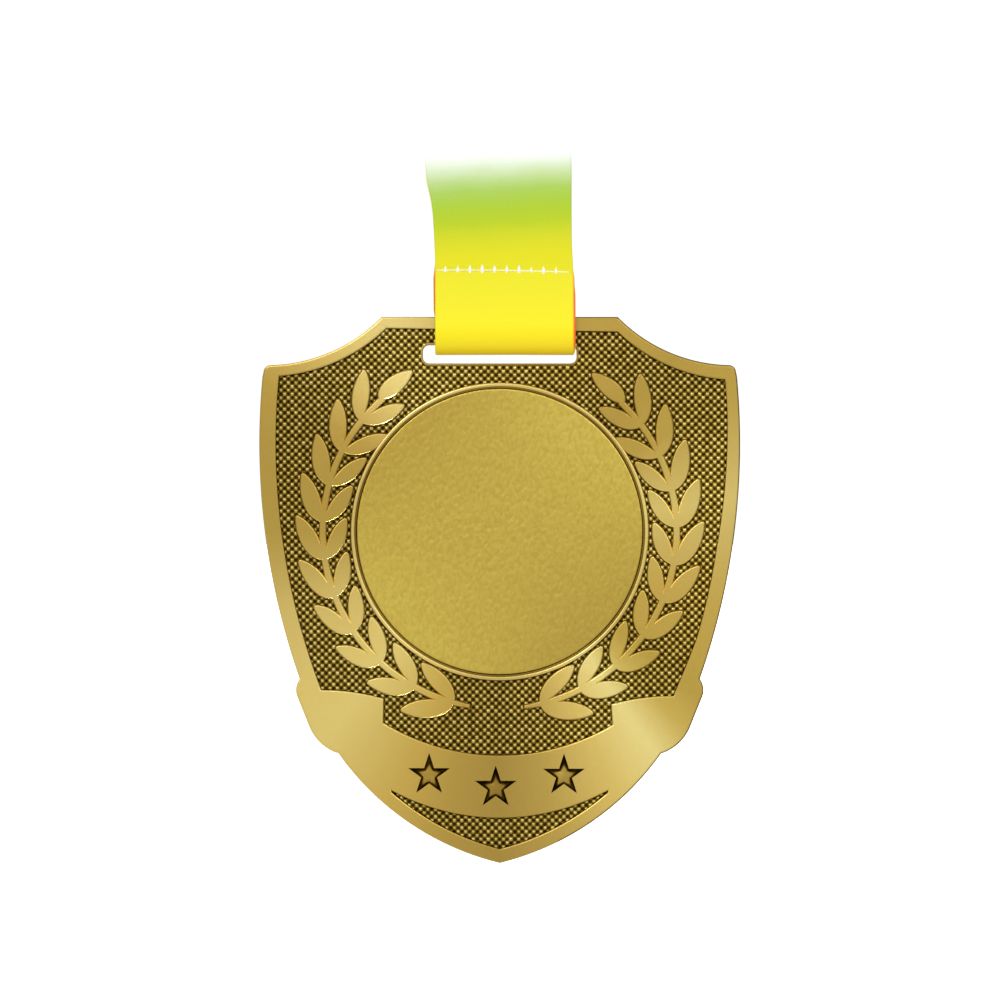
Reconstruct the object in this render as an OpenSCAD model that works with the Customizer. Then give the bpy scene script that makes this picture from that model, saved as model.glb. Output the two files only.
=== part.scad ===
// Award medal: a shield-shaped die-cast medal with a round centre insert,
// hung from a flat neck ribbon that turns over a hanging bar.
// Millimetres. Origin on the axis of the hanging bar, +Z up, face towards -Y.

/* [Shield] */
// Overall width of the shield
shield_w = 83.8; // [82:0.2:86]
// Overall height of the shield
shield_h = 95.1; // [94.5:0.1:96]
// Thickness from the back face to the top of the border
shield_t = 4.0; // [3.6:0.1:5]
// Depth of the sunken ground below the border
ground_depth = 0.8; // [0.5:0.1:1]
// Depth of the panel sunk into the back
back_depth = 0.3; // [0.2:0.1:0.4]
// Width of the border at the sides
border_w = 2.9; // [2.4:0.1:3.2]

/* [Ribbon slot] */
// Width of the slot
slot_w = 26.8; // [26:0.1:28]
// Height of the slot
slot_h = 3.2; // [3:0.1:3.6]
// Height of the bar that is left above the slot
bar_h = 4.9; // [4.4:0.1:5]

/* [Centre insert] */
// Diameter of the round insert
disc_d = 50; // [48:0.5:50]
// Thickness of the insert
disc_t = 1.1; // [0.8:0.1:1.2]
// Thickness of the adhesive pad under the insert
adhesive_t = 0.2; // [0.1:0.1:0.3]
// Width of the raised ring round the insert
ring_w = 0.96; // [0.8:0.02:1.2]
// Height of the ring above the border
ring_rise = 0.2; // [0:0.05:0.3]
// Distance from the shield's top edge down to the insert's centre
disc_drop = 37.4; // [37:0.1:38]

/* [Laurel] */
// Leaf pairs on each branch
leaf_pairs = 10; // [8:1:10]
// Radius of the stem's curve
stem_r = 30.9; // [30.5:0.1:31.3]
// Width of the stem
stem_w = 1.1; // [0.9:0.1:1.4]
// Length of an outer leaf
outer_leaf = 9.3; // [8.5:0.1:9.6]
// Length of an inner leaf
inner_leaf = 8.0; // [7.2:0.1:8.2]
// How far a leaf bulges on its outer side
leaf_belly = 1.7; // [1.4:0.05:1.9]
// How far a leaf bulges on the side that faces the stem
leaf_flat = 1.2; // [0.9:0.05:1.4]

/* [Stars] */
// Radius of each recessed star, to its points
star_r = 3.65; // [3:0.05:3.9]

/* [Ribbon] */
// Width of the ribbon
ribbon_w = 24.6; // [24:0.2:25]
// Thickness of one layer of ribbon
ply = 0.45; // [0.35:0.05:0.5]
// Diameter of the hanging bar that the ribbon turns over
hang_d = 10; // [9:0.5:11]
// Inner radius of the loop that holds the shield
loop_r = 3.7; // [3.6:0.1:3.9]
// Height of the stitched row above the middle of the shield's top bar
stitch_rise = 10.65; // [10:0.05:11]
// Height from the middle of the shield's top bar to the hanging bar
hang_rise = 25.55; // [25:0.05:27]

/* [Folded length] */
// Height of the folded hank
hank_h = 29.5; // [28:0.5:29.5]
// Thickness of the folded hank
hank_t = 14.4; // [12:0.1:16]
// Height of the hank's top above the hanging bar's axis
hank_top = 5; // [4.5:0.1:5.5]
// Width of the band round the hank
band_w = 7; // [5:0.5:9]
// Thickness of the band
band_t = 0.6; // [0.4:0.1:0.8]

/* [Stitches] */
// Stitches in the row above the shield
loop_stitches = 10; // [8:1:11]
// Stitches in each of the two rows that close the neck ribbon
neck_stitches = 8; // [6:1:9]
// Diameter of the thread
thread_d = 0.35; // [0.25:0.05:0.4]

/* [Hidden] */

gold = [0.74, 0.60, 0.27];
satin_gold = [0.78, 0.65, 0.31];
yellow = [0.96, 0.92, 0.18];
white = [0.94, 0.94, 0.92];

// Layers through the shield, measured from its back face
ground_z = shield_t - ground_depth;
disc_sink = 0.1;
disc_seat_z = shield_t - disc_sink - disc_t - adhesive_t;
seat_play = 0.05;
adhesive_margin = 1;
// How far a raised shape reaches into the ground, and a cut past the surface
bite = 0.2;
past = 1;

// Two layers of ribbon lie together, with their middle on this plane
layer_gap = 0.1;
double_t = 2 * ply + layer_gap;
strand_y = -(hang_d + double_t) / 2;
bar_z = -hang_rise;
top_z = bar_z + bar_h / 2;
stitch_z = bar_z + stitch_rise;
// The hank lies behind the ribbon's back leg, and its lowest fold joins the leg
leg_y = hang_d / 2;
hank_y = leg_y + double_t + layer_gap;
hank_low = hank_top - hank_h;
fold_h = 2.2;
// The band goes round the leg and the hank, below the hanging bar
band_z = -10;

half_w = shield_w / 2;
top_border_w = 2;
low_border_w = 2.4;
disc_c = [0, -disc_drop];
// Shoulder: a hollow arc from the flat top edge to the top corner
shoulder_r = 28.1;
shoulder_c = [half_w - 1.3, 19.7];
shoulder_end = 268.8;
function shoulder_start(inset) = 180 + asin((shoulder_c[1] + inset) / (shoulder_r + inset));
corner_r = 1.2;
corner_c = [half_w - 0.75 - corner_r, shoulder_c[1] - shoulder_r - corner_r];
// Side: one long arc, widest a quarter of the way down, to the banner's rolled end
side_r = 123.5;
side_c = [half_w - side_r, -22];
side_top_angle = 5.4;
notch_angle = -19.24;
// Rolled end of the banner, which stands out past the side
roll_r = 3.3;
roll_c = [half_w - 9.7, -65];
roll_tail_r = 8.2;
roll_tail_c = [half_w - 16.3, -68.3];
// Lower edge: an arc down to the point
point_r = 48.4;
point_c = [-11.4, 47 - shield_h];
function point_end(inset) = -acos(-point_c[0] / (point_r - inset));

function arc(c, r, from, to, steps) =
    [for (i = [0 : steps]) let (a = from + (to - from) * i / steps)
        [c[0] + r * cos(a), c[1] + r * sin(a)]];

// A point on the middle line isn't repeated by its mirror image
function mirrored(pts) = [for (i = [len(pts) - 1 : -1 : 0])
    if (pts[i][0] > 0.01) [-pts[i][0], pts[i][1]]];

// Right half of the outer edge, from the top middle down to the point
outer_half = concat(
    arc(shoulder_c, shoulder_r, shoulder_start(0), shoulder_end, 12),
    arc(corner_c, corner_r, 82, 6, 4),
    arc(side_c, side_r, side_top_angle, notch_angle, 14),
    arc(roll_c, roll_r, 36, -24, 6),
    arc(roll_tail_c, roll_tail_r, -24, -68, 6),
    arc(point_c, point_r, -35.2, point_end(0), 12));

// Banner: the top edges of its two folded ends, the step between an end and
// the middle, and the middle's top and bottom edges
banner_end_r = 40.35;
banner_end_c = [half_w - 10.8, -105.35];
banner_step = [20.2, -66.5];
banner_top_r = 39;
banner_low_r = 39.6;
banner_low_c = [0, -47.7];

// Right half of the knurled ground round the insert, down to the banner
ground_half = concat(
    arc(shoulder_c, shoulder_r + top_border_w, shoulder_start(top_border_w), 265.8, 12),
    arc(side_c, side_r - border_w, side_top_angle, -20.9, 14),
    arc(banner_end_c, banner_end_r, 93, 105.4, 4),
    [banner_step],
    arc(disc_c, banner_top_r, -58.7, -90, 10));

// Right half of the small knurled panel under the banner
panel_half = concat(
    arc(banner_low_c, banner_low_r, -90, -61.6, 8),
    arc(point_c, point_r - low_border_w, -49, point_end(low_border_w), 10));

// Right half of the sunken field on the back: it starts below the slot, clear of the
// ribbon, so that a plate can lie on it
back_side_r = side_r - border_w;
back_corner_r = 3;
back_corner_z = -bar_h - slot_h - 2 - back_corner_r;
back_corner_up = back_corner_z - side_c[1];
back_corner_c = [side_c[0] + sqrt(pow(back_side_r - back_corner_r, 2) - pow(back_corner_up, 2)),
                 back_corner_z];
back_side_angle = asin(back_corner_up / (back_side_r - back_corner_r));
back_half = concat(
    arc(back_corner_c, back_corner_r, 90, back_side_angle, 6),
    arc(side_c, back_side_r, back_side_angle, -20, 14),
    arc(point_c, point_r - low_border_w, -28, point_end(low_border_w), 14));

module both_halves(half) polygon(concat(half, mirrored(half)));

// A layer of the shield, from one height above its back face to another
module layer(from, to) {
    translate([0, strand_y + shield_t / 2 - from, top_z])
        rotate([90, 0, 0]) linear_extrude(to - from) children();
}

module slot_shape() {
    r = 1.1;
    x = slot_w / 2 - r;
    polygon(concat(
        arc([x, -bar_h - r], r, 90, 0, 5), arc([x, r - bar_h - slot_h], r, 0, -90, 5),
        arc([-x, r - bar_h - slot_h], r, -90, -180, 5), arc([-x, -bar_h - r], r, 180, 90, 5)));
}

// Stars on the banner; the middle one sits lower
star_places = [[-0.7, -82], [11.2, -79.9], [-12.3, -79.8]];
star_inner = 0.382 * star_r;

module star_shape() {
    polygon([for (i = [0 : 9]) let (r = i % 2 == 0 ? star_r : star_inner, a = 90 + 36 * i)
        [r * cos(a), r * sin(a)]]);
}

// Radius of an arc that spans a leaf's length and bulges by the given amount
function bulge_r(length, bulge) = (length * length / 4 + bulge * bulge) / (2 * bulge);

// A pointed oval that starts at the origin and runs along +X, with its belly towards -Y
module leaf_shape(length) {
    r_flat = bulge_r(length, leaf_flat);
    r_belly = bulge_r(length, leaf_belly);
    a_flat = asin(length / 2 / r_flat);
    a_belly = asin(length / 2 / r_belly);
    polygon(concat(
        arc([length / 2, leaf_flat - r_flat], r_flat, 90 + a_flat, 90 - a_flat, 8),
        arc([length / 2, r_belly - leaf_belly], r_belly, a_belly - 90, 1 - a_belly - 90, 8)));
}

// Angle of a leaf pair round the stem's curve, counted from straight down
function pair_angle(i) = 15 + 12.6 * i + 3 * sin(20 * i);

// The right branch sits a little further down round the ring than the left one
branch_turn = 1.75;

// Angles of the two leaves from the stem; the outer ones open out towards the top
inner_lean = 36;
function outer_lean(i) = 23 + 12 * pow(i / 9, 3);

// Right branch of the laurel: a stem with leaf pairs and one leaf at its end
module laurel_branch() {
    stem_end = pair_angle(leaf_pairs - 1) + 8;
    polygon(concat(
        arc(disc_c, stem_r + stem_w / 2, -82, stem_end - 90, 36),
        arc(disc_c, stem_r - stem_w / 2, stem_end - 90, -82, 36)));
    for (i = [0 : leaf_pairs - 1]) {
        a = pair_angle(i) - 90;
        translate([stem_r * cos(a), stem_r * sin(a) - disc_drop]) {
            rotate(a + 90 - outer_lean(i)) leaf_shape(outer_leaf);
            rotate(a + 90 + inner_lean) mirror([0, 1]) leaf_shape(inner_leaf);
        }
    }
    translate([stem_r * cos(stem_end - 91), stem_r * sin(stem_end - 91) - disc_drop])
        rotate(stem_end) leaf_shape(outer_leaf);
}

// A round shape about the insert's centre
module disc_shape(r) translate(disc_c) circle(r = r, $fn = 120);

module shield_casting() color(gold) difference() {
    union() {
        difference() {
            layer(0, shield_t) both_halves(outer_half);
            layer(ground_z, shield_t + past) {
                both_halves(ground_half);
                both_halves(panel_half);
                for (place = star_places) translate(place) star_shape();
            }
        }
        layer(ground_z - bite, shield_t) {
            translate(disc_c) rotate(-branch_turn) translate(-disc_c) laurel_branch();
            mirror([1, 0]) laurel_branch();
        }
        layer(ground_z - bite, shield_t + ring_rise) disc_shape(disc_d / 2 + ring_w);
    }
    layer(disc_seat_z, shield_t + past) disc_shape(disc_d / 2 + seat_play);
    layer(-past, back_depth) both_halves(back_half);
    layer(-past, shield_t + past) slot_shape();
}

module disc_adhesive() color(white)
    layer(disc_seat_z, disc_seat_z + adhesive_t) disc_shape(disc_d / 2 - adhesive_margin);

module centre_disc() color(satin_gold)
    layer(disc_seat_z + adhesive_t, shield_t - disc_sink) disc_shape(disc_d / 2);

// A shape drawn as seen from +X, with Y across and Z up, drawn out to the ribbon's width
module across(width) {
    rotate([90, 0, 90]) translate([0, 0, -width / 2]) linear_extrude(width) children();
}

// A round end with two straight sides that meet at the stitched row
module teardrop(r, half_top) {
    lean = asin((r - half_top) / stitch_rise);
    circle(r = r, $fn = 96);
    polygon([[r * cos(lean), r * sin(lean)], [half_top, stitch_rise],
             [-half_top, stitch_rise], [-r * cos(lean), r * sin(lean)]]);
}

module ribbon_loop() color(yellow) across(ribbon_w) translate([strand_y, bar_z]) difference() {
    teardrop(loop_r + ply, double_t / 2);
    teardrop(loop_r, layer_gap / 2);
}

module ribbon_turn() color(white) across(ribbon_w) {
    difference() {
        circle(r = hang_d / 2 + double_t, $fn = 96);
        circle(r = hang_d / 2, $fn = 96);
        translate([-hang_d, -2 * hang_d]) square([2 * hang_d, 2 * hang_d]);
    }
    translate([-hang_d / 2 - double_t, stitch_z]) square([double_t, -stitch_z]);
    translate([leg_y, hank_low + fold_h]) square([double_t, -hank_low - fold_h]);
}

// A rectangle with round corners, between two opposite corners
module round_box(from, to, r) {
    size = to - from;
    for (y = [from[0] + r, to[0] - r], z = [from[1] + r, to[1] - r])
        translate([y, z]) circle(r = r, $fn = 48);
    translate(from + [0, r]) square(size - [0, 2 * r]);
    translate(from + [r, 0]) square(size - [2 * r, 0]);
}

module ribbon_hank() color(white) across(ribbon_w) {
    round_box([hank_y, hank_low], [hank_y + hank_t, hank_top], 1.8);
    round_box([leg_y, hank_low], [hank_y + 3, hank_low + fold_h], 1);
}

module hank_band() color(white) {
    depth = hank_y + hank_t - leg_y;
    translate([0, leg_y + depth / 2, band_z]) difference() {
        cube([ribbon_w + 2 * band_t, depth + 2 * band_t, band_w], center = true);
        cube([ribbon_w, depth, band_w + past], center = true);
    }
}

// A row of thread lengths side by side along X, with a margin at each edge of the ribbon
module stitch_row(count, margin) {
    pitch = (ribbon_w - 2 * margin) / count;
    for (i = [0 : count - 1])
        translate([(i - (count - 1) / 2) * pitch, 0, 0]) rotate([0, 90, 0])
            cylinder(d = thread_d, h = pitch * 0.7, center = true, $fn = 24);
}

module loop_stitching() color(white) for (s = [-1, 1])
    translate([0, strand_y + s * (double_t + thread_d) / 2, stitch_z + thread_d / 2])
        stitch_row(loop_stitches, 1);

// Two rows on the back of the hank, at these heights
neck_rows = [-16.5, -21];
module neck_stitching() color(white) for (z = neck_rows)
    translate([0, hank_y + hank_t + thread_d / 2, z]) stitch_row(neck_stitches, 2);

shield_casting();
disc_adhesive();
centre_disc();
ribbon_loop();
ribbon_turn();
ribbon_hank();
loop_stitching();
neck_stitching();
hank_band();
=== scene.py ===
"""Shield-shaped award medal on a neck ribbon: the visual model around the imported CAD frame.

Outlines are drawn in millimetres in the medal's own plane: X to the right and Z up, from the
middle of the shield's top edge. Heights through the casting count from its back face.
"""
import math
import random

import bmesh
import bpy
import numpy as np
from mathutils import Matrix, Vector, geometry, noise


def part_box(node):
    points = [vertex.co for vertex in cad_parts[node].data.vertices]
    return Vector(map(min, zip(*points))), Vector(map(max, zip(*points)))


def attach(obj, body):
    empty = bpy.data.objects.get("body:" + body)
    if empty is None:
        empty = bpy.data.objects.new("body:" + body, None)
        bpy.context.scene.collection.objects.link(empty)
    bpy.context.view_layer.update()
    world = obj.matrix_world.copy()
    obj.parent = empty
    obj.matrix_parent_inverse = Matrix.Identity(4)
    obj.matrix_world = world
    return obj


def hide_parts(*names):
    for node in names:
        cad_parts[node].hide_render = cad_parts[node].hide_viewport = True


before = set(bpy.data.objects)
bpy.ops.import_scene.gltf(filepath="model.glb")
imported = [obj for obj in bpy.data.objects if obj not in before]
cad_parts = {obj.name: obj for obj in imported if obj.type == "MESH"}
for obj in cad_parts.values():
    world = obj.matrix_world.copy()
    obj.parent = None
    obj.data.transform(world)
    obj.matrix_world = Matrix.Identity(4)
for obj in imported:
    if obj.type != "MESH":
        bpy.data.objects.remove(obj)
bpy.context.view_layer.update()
random.seed(7)

MM = 0.001
SHIELD_LOW, SHIELD_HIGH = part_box("shield_casting")
TURN_LOW, TURN_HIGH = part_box("ribbon_turn")
HANK_LOW, HANK_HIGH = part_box("ribbon_hank")
DISC_LOW, DISC_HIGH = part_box("centre_disc")
TOP_Z = SHIELD_HIGH[2] / MM
BACK_Y = SHIELD_HIGH[1] / MM
HALF_W = SHIELD_HIGH[0] / MM
SHIELD_H = TOP_Z - SHIELD_LOW[2] / MM

# Heights above the casting's back face
THICK = 4.0
GROUND = 3.2
FLOOR = 3.0
BACK_FIELD = 0.3
RING_TOP = 4.2

# The shield's outline, as in the CAD model
SHOULDER_C, SHOULDER_R = (HALF_W - 1.3, 19.7), 28.1
CORNER_R = 1.2
SIDE_R = 123.5
SIDE_C = (HALF_W - SIDE_R, -22)
ROLL_C, ROLL_R = (HALF_W - 9.7, -65), 3.3
ROLL_TAIL_C, ROLL_TAIL_R = (HALF_W - 16.3, -68.3), 8.2
POINT_C, POINT_R = (-11.4, 47 - SHIELD_H), 48.4
TOP_BORDER, SIDE_BORDER, LOW_BORDER = 2, 2.9, 2.4
DISC_C, DISC_R, RING_W = (0, -37.4), 25, 0.96
DISC_Z = TOP_Z + DISC_C[1]
DISC_FRONT, DISC_BACK = BACK_Y - DISC_LOW[1] / MM, BACK_Y - DISC_HIGH[1] / MM
DISC_STEPS, RING_STEPS = 360, 288
GRAIN_DEPTH = 0.02
BANNER_R = 39
# The ground's right side against its left: further out, its shoulder further out and lower, the
# banner's end further in and lower; below the step in the banner it goes no further out than X
SIDE_OUT, SHOULDER_LEAN, BANNER_DROP = 0.2, 0.6, 1.0
BANNER_STEP_X, BANNER_STEP_Z = 19.6, -68
SLOT_HALF, SLOT_TOP, SLOT_H, SLOT_R = 13.4, 4.9, 3.2, 1.1
STARS = [(-0.7, -82), (11.2, -79.9), (-12.3, -79.8)]
STAR_R, STAR_NOTCH = 3.65, 0.382

# The laurel, from the lowest pair of leaves up: lengths, and leans away from the stem
STEM_R, STEM_W = 30.85, 0.9
OUTER_LEAVES = [9.3, 8.3, 8.2, 8.2, 8.9, 9.0, 9.1, 9.1, 9.1, 9.0]
INNER_LEAVES = [8.8, 8.4, 8.1, 8, 8, 8, 8, 8, 8.5, 8]
OUTER_LEANS = [23, 23, 23, 22, 23, 24, 26, 28, 31, 35]
INNER_LEANS = [36, 36, 36, 36, 36, 36, 36, 39, 44, 31]
END_LEAF, END_ANGLE = 7.5, 137.7
FIRST_PAIR, PAIR_STEP = 15, 12.6
BRANCH_TURN = -1.75

# The knurl: round studs in rows at 45 degrees
KNURL_PITCH = 0.93
KNURL_H = 0.36
KNURL_ORIGIN = 47
KNURL_REACH = 90

# The ribbon
BAR_C = ((TURN_LOW[1] / MM + TURN_HIGH[1] / MM) / 2 - 5.5, TOP_Z - 2.45)
HANG_R = 5
PLY = 0.45
PLY_OFFSET = 0.275
DOUBLE = 1.0
LOOP_R = 3.7 + PLY / 2
STITCH_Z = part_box("ribbon_loop")[1][2] / MM
FIRST_STITCH, STITCH_STEP, STITCHES = -9.46, 2.14, 10
NECK_STITCHES, NECK_STEP, NECK_HALF = 8, 2.4, 0.95


# ---- outlines

def polar(radius, angle, centre=(0, 0)):
    """The point at an angle in degrees round a centre."""
    a = math.radians(angle)
    return (centre[0] + radius * math.cos(a), centre[1] + radius * math.sin(a))


def arc(centre, radius, start, stop, steps):
    """Points along an arc, from one angle to another."""
    return [polar(radius, start + (stop - start) * i / steps, centre) for i in range(steps + 1)]


def both_halves(half):
    """A right half and its mirror image; a point on the middle line isn't repeated."""
    return half + [(-x, z) for x, z in reversed(half) if x > 0.01]


def point_end(inset):
    """Angle at which the lower edge's arc, moved in by the inset, meets the middle line."""
    return -math.degrees(math.acos(-POINT_C[0] / (POINT_R - inset)))


def shoulder(inset, stop, steps):
    """The hollow arc from the flat top edge to the top corner, moved in by the inset."""
    start = 180 + math.degrees(math.asin((SHOULDER_C[1] + inset) / (SHOULDER_R + inset)))
    return arc(SHOULDER_C, SHOULDER_R + inset, start, stop, steps)


def shield_outline():
    corner_z = SHOULDER_C[1] - SHOULDER_R
    return both_halves(
        shoulder(0, 268.8, 40)
        + arc((HALF_W - 0.75 - CORNER_R, corner_z - CORNER_R), CORNER_R, 82, 6, 10)
        + arc(SIDE_C, SIDE_R, 5.4, -19.24, 60)
        + arc(ROLL_C, ROLL_R, 36, -24, 16)
        + arc(ROLL_TAIL_C, ROLL_TAIL_R, -24, -68, 16)
        + arc(POINT_C, POINT_R, -35.2, point_end(0), 50))


def share(value, start, stop):
    """How far a value has come from start to stop, from 0 to 1."""
    return min(max((value - start) / (stop - start), 0), 1)


def leant(loop):
    """The ground's right side: a lower, wider shoulder and a lower banner end than on the left."""
    moved = []
    for x, z in loop:
        right = share(x, 0, 10)
        shoulder_part = SHOULDER_LEAN * share(z, -40, -15)
        banner_part = BANNER_DROP * share(z, -56, -64)
        if z < BANNER_STEP_Z:
            moved.append((min(x, BANNER_STEP_X), z))
        else:
            moved.append((x + right * (SIDE_OUT + shoulder_part - banner_part),
                          z - right * (shoulder_part + banner_part)))
    return moved


def ground_outline():
    """The sunken ground round the insert, down to the banner."""
    return leant(both_halves(
        shoulder(TOP_BORDER, 265.8, 40)
        + arc(SIDE_C, SIDE_R - SIDE_BORDER, 5.4, -20.9, 60)
        + arc((HALF_W - 10.8, -105.35), 40.35, 93, 104.4, 10)
        + [(20.2, -66.5)]
        + arc(DISC_C, BANNER_R, -58.7, -90, 36)))


def panel_outline():
    """The small panel under the banner."""
    return both_halves(
        arc((0, -47.7), 39.6, -90, -61.6, 30)
        + arc(POINT_C, POINT_R - LOW_BORDER, -49, point_end(LOW_BORDER), 30))


def back_outline():
    """The sunken field on the back, which starts below the slot."""
    side, corner_r = SIDE_R - SIDE_BORDER, 3
    z = -SLOT_TOP - SLOT_H - 2 - corner_r
    rise = z - SIDE_C[1]
    x = SIDE_C[0] + math.sqrt((side - corner_r) ** 2 - rise ** 2)
    lean = math.degrees(math.asin(rise / (side - corner_r)))
    return both_halves(
        arc((x, z), corner_r, 90, lean, 10)
        + arc(SIDE_C, side, lean, -20, 40)
        + arc(POINT_C, POINT_R - LOW_BORDER, -28, point_end(LOW_BORDER), 40))


def slot_outline():
    x, top, low = SLOT_HALF - SLOT_R, -SLOT_TOP - SLOT_R, SLOT_R - SLOT_TOP - SLOT_H
    return (arc((x, top), SLOT_R, 90, 0, 8) + arc((x, low), SLOT_R, 0, -90, 8)
            + arc((-x, low), SLOT_R, -90, -180, 8) + arc((-x, top), SLOT_R, 180, 90, 8))


def star_outline(centre, radius, notch):
    """A five-pointed star; notch is the radius of its inner corners over that of its points."""
    return [polar(radius * (notch if i % 2 else 1), 90 + 36 * i, centre) for i in range(10)]


def bezier(start, pull_start, pull_end, end, steps):
    out = []
    for i in range(steps + 1):
        t = i / steps
        shares = ((1 - t) ** 3, 3 * t * (1 - t) ** 2, 3 * t * t * (1 - t), t ** 3)
        corners = (start, pull_start, pull_end, end)
        out.append(tuple(sum(w * p[k] for w, p in zip(shares, corners)) for k in (0, 1)))
    return out


def leaf_outline(length, lean, root, angle, side, neck=20):
    """A leaf from its root: its belly leaves the stem squarely, and its tip is slightly round."""
    tip_r, belly_slope, flat_slope = 0.3, 34, 30
    tip = arc((length - tip_r, 0), tip_r, belly_slope - 90, 90 - flat_slope, 8)
    belly, flat = tip[0], tip[-1]
    belly_pull = polar(0.42 * length, belly_slope)
    flat_pull = polar(0.4 * length, -flat_slope)
    oval = bezier((0, 0), polar(0.3 * length, lean - 90),
                  (belly[0] - belly_pull[0], belly[1] - belly_pull[1]), belly, 20)
    oval += tip[1:-1]
    oval += bezier(flat, (flat[0] - flat_pull[0], flat[1] - flat_pull[1]),
                   polar(0.2 * length, neck), (0, 0), 18)[:-1]
    c, s = math.cos(math.radians(angle)), math.sin(math.radians(angle))
    return [(root[0] + c * x - s * z * side, root[1] + s * x + c * z * side) for x, z in oval]


def pair_angle(i):
    """Angle of a leaf pair round the stem's curve, from straight down."""
    return FIRST_PAIR + PAIR_STEP * i + 3 * math.sin(math.radians(20 * i))


def on_stem(angle, radius=STEM_R):
    return polar(radius, angle - 90, DISC_C)


def branch_outlines(turn):
    """A right branch: its stem, its leaf pairs and the leaf at its end, all turned by an angle."""
    start, end = turn - 80.2, turn + END_ANGLE - 89
    stem = [(STEM_W / 2 * min(1, 0.45 + 0.08 * i), start + (end - start) * i / 90) for i in range(91)]
    parts = [[on_stem(a + 90, STEM_R + half) for half, a in stem]
             + [on_stem(a + 90, STEM_R - half) for half, a in reversed(stem)]]
    sizes = zip(OUTER_LEAVES, INNER_LEAVES, OUTER_LEANS, INNER_LEANS)
    for i, (outer, inner, outer_lean, inner_lean) in enumerate(sizes):
        along = pair_angle(i) + turn
        root = on_stem(along)
        parts.append(leaf_outline(outer, outer_lean, root, along - outer_lean, 1))
        parts.append(leaf_outline(inner, inner_lean, root, along + inner_lean, -1))
    along = END_ANGLE + turn
    parts.append(leaf_outline(END_LEAF, 22, on_stem(along, STEM_R + 0.4), along + 2, 1, 62))
    return parts


# Smallest gap between leaves that is kept, in square millimetres, and a mitre's longest reach
SLIVER = 0.05
MITRE_LIMIT = 0.35


def open_edges(faces):
    """The loops of vertex numbers along the edges that only one face has."""
    edges = {(a, b) for face in faces for a, b in zip(face, face[1:] + face[:1])}
    onward = {a: b for a, b in edges if (b, a) not in edges}
    loops = []
    while onward:
        here, loop = min(onward), []
        while here in onward:
            loop.append(here)
            here = onward.pop(here)
        loops.append(loop)
    return loops


def joined(outlines):
    """The closed loops round the union of overlapping outlines."""
    points, faces = [], []
    for outline in outlines:
        faces.append(list(range(len(points), len(points) + len(outline))))
        points += [Vector(p) for p in outline]
    verts, _, tris, _, _, origins = geometry.delaunay_2d_cdt(points, [], faces, 1, 1e-4)
    filled = [tri for tri, origin in zip(tris, origins) if origin]
    loops = [[tuple(verts[i]) for i in loop] for loop in open_edges(filled)]
    return [loop for loop in loops if abs(area(loop)) > SLIVER]


def area(loop):
    return sum(a[0] * b[1] - b[0] * a[1] for a, b in zip(loop, loop[1:] + loop[:1])) / 2


def turned(loop, outer):
    """The loop run anticlockwise if it is an outer edge, clockwise if it is a hole."""
    return loop if (area(loop) > 0) == outer else loop[::-1]


def inset(loop, distance):
    """The loop moved sideways, to its left, with corners mitred up to a limit."""
    out = []
    for i, here in enumerate(loop):
        before, after = loop[i - 1], loop[(i + 1) % len(loop)]
        normals = []
        for a, b in ((before, here), (here, after)):
            dx, dz = b[0] - a[0], b[1] - a[1]
            size = math.hypot(dx, dz) or 1
            normals.append((-dz / size, dx / size))
        nx, nz = normals[0][0] + normals[1][0], normals[0][1] + normals[1][1]
        spread = max(1 + normals[0][0] * normals[1][0] + normals[0][1] * normals[1][1], MITRE_LIMIT)
        out.append((here[0] + nx / spread * distance, here[1] + nz / spread * distance))
    return out


# ---- mesh helpers

def at(x, z, height):
    """A point of the casting in the row's frame, in metres."""
    return (x * MM, (BACK_Y - height) * MM, (TOP_Z + z) * MM)


def band(a, b, count):
    """Faces between two rings of vertices, by the numbers of their first ones."""
    return [(a + i, a + (i + 1) % count, b + (i + 1) % count, b + i) for i in range(count)]


def swept(rings, count, closed):
    """Faces from each ring of vertices to the next; a sweep that isn't closed gets two ends."""
    faces = []
    for i in range(rings if closed else rings - 1):
        faces += band(i * count, (i + 1) % rings * count, count)
    if not closed:
        faces.append(tuple(range(count)))
        faces.append(tuple((rings - 1) * count + k for k in reversed(range(count))))
    return faces


def solid(name, points, faces, material, body, crisp=180, tarnish_and_shade=None, cloth=None):
    """A closed mesh on one of the bodies: outward faces, smooth up to the crisp angle."""
    mesh = bpy.data.meshes.new(name)
    mesh.from_pydata(points, [], faces)
    # Per-vertex darkness: tarnish in the hollows, and painted shade on the right-hand edge and in the
    # stars' upper points.
    if tarnish_and_shade:
        mesh.attributes.new("tarnish_and_shade", "FLOAT", "POINT").data.foreach_set("value", tarnish_and_shade)
    if cloth:
        flat = [v for p in cloth for v in p]
        mesh.attributes.new("cloth", "FLOAT_VECTOR", "POINT").data.foreach_set("vector", flat)
    mesh.materials.append(material)
    mesh.update()
    bm = bmesh.new()
    bm.from_mesh(mesh)
    bmesh.ops.recalc_face_normals(bm, faces=bm.faces)
    bm.to_mesh(mesh)
    bm.free()
    mesh.polygons.foreach_set("use_smooth", [True] * len(mesh.polygons))
    mesh.set_sharp_from_angle(angle=math.radians(crisp))
    o = bpy.data.objects.new(name, mesh)
    bpy.context.scene.collection.objects.link(o)
    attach(o, body)
    return o


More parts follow.
